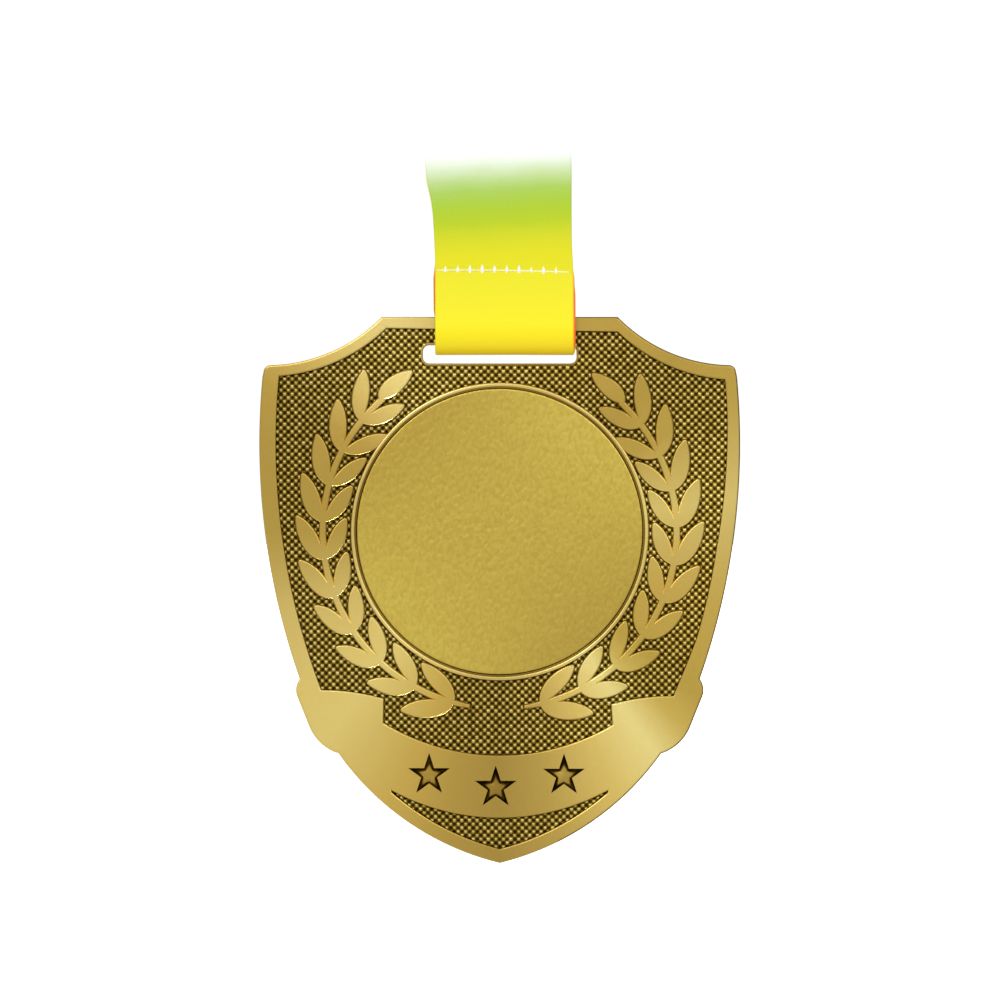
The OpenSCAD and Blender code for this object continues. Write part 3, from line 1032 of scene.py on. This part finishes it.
def neck_ribbon():
    """One strip swept along its route, closed on all sides."""
    run = lengths(ROUTE)
    closest = min(range(len(ROUTE)), key=lambda i: math.dist(ROUTE[i], (BAR_C[0], BAR_C[1] - LOOP_R)))
    fold = run[closest]
    half = [-1 + 2 * i / 30 for i in range(31)]
    section = [(h, 1) for h in half] + [(1.012, 0)] + [(h, -1) for h in reversed(half)] + [(-1.012, 0)]
    points, cloth = [], []
    for (y, z), (dy, dz), gone in zip(ROUTE, slopes(ROUTE), run):
        s = fold - gone
        left, right = drift(s)
        width = (right - left) / 2
        for h, face in section:
            x = left + (h + 1) * width
            out = face * PLY / 2
            if abs(z - STITCH_Z) < 3 and y < 0 and face == sign_out(s, dz):
                out += face * pucker(x, z)
            out += 0.05 * noise.noise(Vector((x * 0.12, gone * 0.1, 3)))
            points.append((x * MM, (y + dz * out) * MM, (z - dy * out) * MM))
            cloth.append((h * width, s, 0))
    faces = swept(len(ROUTE), len(section), False)
    return solid("neck_ribbon", points, faces, SATIN, "ribbon", 50, cloth=cloth), run[-1]


def sign_out(s, dz):
    """Which face of the strip looks away from the other layer, near the stitches."""
    towards_front = -1 if s > 0 else 1
    return 1 if dz * towards_front > 0 else -1


# Left and right edge of the strip, by its distance from the fold: up the front, and up the back
FRONT_EDGES = [(0, -11.1, 12.8), (3, -11.1, 13.1), (13, -11.1, 13.05), (18, -11.1, 12.65),
               (22, -11.25, 12.45), (27, -11.5, 12.4), (29.6, -11.8, 12.4), (31.4, -12.2, 12.4),
               (33.3, -12.6, 12.4), (36, -12.85, 12.4), (46, -12.6, 12.3)]
BACK_EDGES = [(0, -11.1, 12.8), (8, -11.1, 13.1), (10, -11.4, 13.1), (16, -11.45, 12.9),
              (19, -11.1, 12.5), (27, -11.5, 12.3), (29.6, -11.95, 12.3), (31.4, -12.4, 12.3),
              (33.3, -12.8, 12.3), (36, -13, 12.3), (46, -12.7, 12.3)]
HANK_EDGES = (62, -10.8, 12.2)


def drift(s):
    """Left and right edge of the strip at a distance from its fold."""
    keys = (FRONT_EDGES if s > 0 else BACK_EDGES) + [HANK_EDGES]
    here = abs(s)
    for low, high in zip(keys, keys[1:]):
        if here < high[0]:
            t = (here - low[0]) / (high[0] - low[0])
            return low[1] + (high[1] - low[1]) * t, low[2] + (high[2] - low[2]) * t
    sway = 0.12 * noise.noise(Vector((here * 0.035, 0, 9)))
    return HANK_EDGES[1] + sway, HANK_EDGES[2] + sway


neck, strip_length = neck_ribbon()


def tube(path, radii):
    """Points and faces of a round thread along a path of points in millimetres."""
    sides = 10
    points = []
    for p, radius, slope in zip(path, radii, slopes(path)):
        ahead = Vector(slope)
        side = ahead.cross(Vector((0, 1, 0))).normalized()
        up = side.cross(ahead)
        for k in range(sides):
            t = 2 * math.pi * k / sides
            q = Vector(p) + side * radius * math.cos(t) + up * radius * math.sin(t)
            points.append(tuple(q * MM))
    return points, swept(len(path), sides, False)


def threads(name, runs):
    """One piece from thread runs, each with its own list of radii."""
    points, faces = [], []
    for path, radii in runs:
        p, f = tube(path, radii)
        faces += [tuple(i + len(points) for i in face) for face in f]
        points += p
    return solid(name, points, faces, THREAD, "ribbon")


def stitch_run(x0, x1, y, z0, z1, lift, radius):
    """One thread length from hole to hole, dipping into the cloth at both ends."""
    path = []
    for i in range(9):
        t = i / 8
        rise = math.sin(math.pi * t) ** 0.6 if 0 < t < 1 else 0
        path.append((x0 + (x1 - x0) * t, y + lift * rise, z0 + (z1 - z0) * t))
    return path, [0.45 * radius] + [radius] * 7 + [0.45 * radius]


def loop_stitching():
    """The row that closes the loop over the shield: threads on both faces, and a knot at each hole."""
    runs = []
    ends = [-11] + stitch_spots() + [12.2]
    knot = [(-0.95, 0.04), (-0.66, 0.14), (-0.34, 0.28), (0, 0.36), (0.34, 0.28), (0.66, 0.14),
            (0.95, 0.04)]
    for side in (-1, 1):
        y = BAR_C[0] + side * (DOUBLE / 2 - 0.04)
        for a, b in zip(ends, ends[1:]):
            runs.append(stitch_run(a, b, y, row_height(a), row_height(b), side * 0.13, 0.09))
        for a in stitch_spots():
            size = random.uniform(0.75, 1.05)
            runs.append(([(a, y + side * 0.1, row_height(a) + dz * size) for dz, _ in knot],
                         [radius * size for _, radius in knot]))
    return threads("loop_thread", runs)


def neck_stitching():
    """Two rows that close the neck ribbon, on the back of the hank."""
    low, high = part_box("neck_stitching")
    y = HANK_HIGH[1] / MM - 0.2
    middle = (HANK_EDGES[1] + HANK_EDGES[2]) / 2
    runs = []
    for z in (high[2] / MM - 0.2, low[2] / MM + 0.2):
        for i in range(NECK_STITCHES):
            x = middle + (i - (NECK_STITCHES - 1) / 2) * NECK_STEP
            runs.append(stitch_run(x - NECK_HALF, x + NECK_HALF, y - 0.05, z, z, 0.2, 0.15))
    return threads("neck_thread", runs)


def hank_band():
    """A flat elastic band round the hank, with soft corners."""
    low, high = (Vector(p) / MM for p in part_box("hank_band"))
    (_, cy, cz), (_, hy, hz) = (low + high) / 2, (high - low) / 2
    cx, hx = (HANK_EDGES[1] + HANK_EDGES[2]) / 2, (HANK_EDGES[2] - HANK_EDGES[1]) / 2 + 0.3
    corner = 1.3
    outline = []
    for sx, sy, start in ((1, 1, 0), (-1, 1, 90), (-1, -1, 180), (1, -1, 270)):
        outline += arc((cx + sx * (hx - corner), cy + sy * (hy - corner)), corner, start, start + 90, 8)
    dense = []
    for a, b in zip(outline, outline[1:] + outline[:1]):
        dense += line(a, b, 1.0)[:-1] if math.dist(a, b) > 1.2 else [a]
    outline = turned(dense, True)
    profile = [(0.55, -hz + 0.1), (0.2, -hz), (0.05, -hz + 0.12), (0.0, -hz + 0.5), (0.03, 0),
               (0.0, hz - 0.5), (0.05, hz - 0.12), (0.2, hz), (0.55, hz - 0.1)]
    points = []
    for distance, dz in profile:
        points += [(x * MM, y * MM, (cz + dz) * MM) for x, y in inset(outline, distance)]
    faces = swept(len(profile), len(outline), True)
    return solid("elastic_band", points, faces, ELASTIC, "ribbon", 50)


body_piece = casting_body()
lip_piece = slot_lip()
left_branch = laurel("laurel_left", -1, 0)
right_branch = laurel("laurel_right", 1, BRANCH_TURN)
ring_piece = bezel_ring()
ground_piece = knurled_ground()
disc_piece = centre_disc()
loop_thread = loop_stitching()
neck_thread = neck_stitching()
band_piece = hank_band()

for piece in (body_piece, lip_piece, left_branch, right_branch, ring_piece, ground_piece):
    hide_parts("shield_casting")
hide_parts("centre_disc")
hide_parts("ribbon_loop", "ribbon_turn", "ribbon_hank")
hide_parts("loop_stitching")
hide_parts("neck_stitching")
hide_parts("hank_band")

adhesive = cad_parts["disc_adhesive"]
adhesive.data.materials.clear()
adhesive.data.materials.append(ADHESIVE)


# ---- stage

FLOOR_Z = -0.16
AIM = (0, 0, -0.06)
GLINT_AIM = (-0.023, SHIELD_LOW[1], -0.037)
# The room's brightness at eye level and straight up or down, and its share on each side
ROOM_LEVEL, ROOM_ENDS = 0.63, 1.05
ROOM_LEFT, ROOM_RIGHT = 1.1, 0.9


def studio():
    """White all round for the camera; for the light, a grey room with a pale ceiling and floor."""
    scene = bpy.context.scene
    scene.view_settings.view_transform = "Standard"
    world = Nodes(bpy.data.worlds.new("studio"), "Background")
    seen = world.node("ShaderNodeLightPath").outputs["Is Camera Ray"]
    x, _, z = world.xyz(world.node("ShaderNodeTexCoord").outputs["Generated"])
    ends = world.spread(world.math("ABSOLUTE", z), 0, 1, ROOM_LEVEL, ROOM_ENDS)
    room = world.math("MULTIPLY", ends, world.spread(x, -1, 1, ROOM_LEFT, ROOM_RIGHT))
    world.set(Color=world.mix(seen, room, (1.05, 1.05, 1.05, 1)))
    scene.world = world.owner
    bpy.ops.mesh.primitive_plane_add(size=40, location=(0, 0, FLOOR_Z))
    floor = bpy.context.object
    floor.name = "floor"
    floor.visible_diffuse = False
    floor.visible_glossy = False
    floor.visible_shadow = False
    paint = new_material("floor_paint")
    paint.set(Base_Color=(0.95, 0.95, 0.95, 1), Roughness=0.9, Specular_IOR_Level=0.1,
              Emission_Color=(1, 1, 1, 1), Emission_Strength=0.9)
    floor.data.materials.append(paint.owner)


def lamp(name, kind, power, aim, round_face, off_axis, distance):
    """A light aimed at a point, by its angle round the face and its angle from straight ahead."""
    data = bpy.data.lights.new(name, kind)
    data.energy = power
    a, b = math.radians(round_face), math.radians(off_axis)
    away = Vector((math.sin(b) * math.cos(a), -math.cos(b), math.sin(b) * math.sin(a)))
    o = bpy.data.objects.new(name, data)
    o.location = Vector(aim) + away * distance
    o.rotation_euler = (-away).to_track_quat("-Z", "Y").to_euler()
    bpy.context.scene.collection.objects.link(o)
    return o


def softboxes():
    """Two square lights above the medal, the stronger one at the upper left."""
    for name, round_face, power in (("key", 125, 3.0), ("fill", 45, 2.0)):
        lamp(name, "AREA", power, AIM, round_face, 38, 1.1).data.size = 0.4


def glint():
    """A low light from the lower right that only picks out the edges of the upper left leaves."""
    o = lamp("glint", "SPOT", 18, GLINT_AIM, -68, 78, 0.2)
    o.data.spot_size = math.radians(7)
    o.data.spot_blend = 1.0
    o.data.color = (0.6, 0.72, 1.0)
    o.data.shadow_soft_size = 0.02
    o.visible_camera = False
    leaves = bpy.data.collections.new("glint_receivers")
    leaves.objects.link(left_branch)
    o.light_linking.receiver_collection = leaves


def camera():
    """A long lens straight in front of the medal, level with the middle of the picture."""
    distance, view_width = 1.6, 0.1742
    data = bpy.data.cameras.new("camera")
    data.sensor_width = 36
    data.lens = 36 * distance / view_width
    data.clip_end = 50
    o = bpy.data.objects.new("camera", data)
    o.location = (0.00005, SHIELD_LOW[1] - distance, -0.055)
    o.rotation_euler = (math.radians(90), 0, 0)
    bpy.context.scene.collection.objects.link(o)
    bpy.context.scene.camera = o


studio()
softboxes()
glint()
camera()
